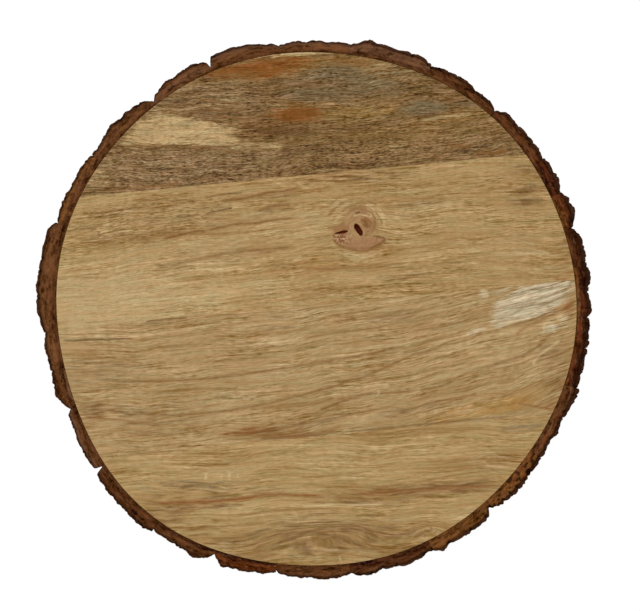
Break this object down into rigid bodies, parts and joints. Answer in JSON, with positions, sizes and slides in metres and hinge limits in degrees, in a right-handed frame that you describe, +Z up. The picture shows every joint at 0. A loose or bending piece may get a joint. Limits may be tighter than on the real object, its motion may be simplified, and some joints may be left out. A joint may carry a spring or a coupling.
{
  "type": "bark-edged round wood board",
  "caption": "Round flat board of edge-glued wood planks with a ring of natural bark plates round its rim, for serving, display or craft.",
  "frame": {"origin": "centre of the board's flat underside", "axes": "+Z up out of the board's top face, +X along the board's longest width, to the right when the dark plank is at the far side, +Y towards the dark plank"},
  "size_m": [0.4077, 0.396, 0.022],
  "materials": {
    "dark_plank": "oiled, satin, open-pored, olive brown with orange and grey stains",
    "light_plank": "oiled, satin, open-pored, light golden tan with darker growth lines",
    "bark": "rough dry bark, matt, reddish to near-black brown"
  },
  "bodies": {
    "root": {"plank_1": "dark_plank", "plank_2": "light_plank", "plank_3": "light_plank", "plank_4": "light_plank", "bark_01": "bark", "bark_02": "bark", "bark_03": "bark", "bark_04": "bark", "bark_05": "bark", "bark_06": "bark", "bark_07": "bark", "bark_08": "bark", "bark_09": "bark", "bark_10": "bark", "bark_11": "bark", "bark_12": "bark", "bark_13": "bark", "bark_14": "bark", "bark_15": "bark", "bark_16": "bark", "bark_17": "bark", "bark_18": "bark", "bark_19": "bark", "bark_20": "bark", "bark_21": "bark", "bark_22": "bark", "bark_23": "bark", "bark_24": "bark", "bark_25": "bark", "bark_26": "bark"}
  },
  "joints": []
}
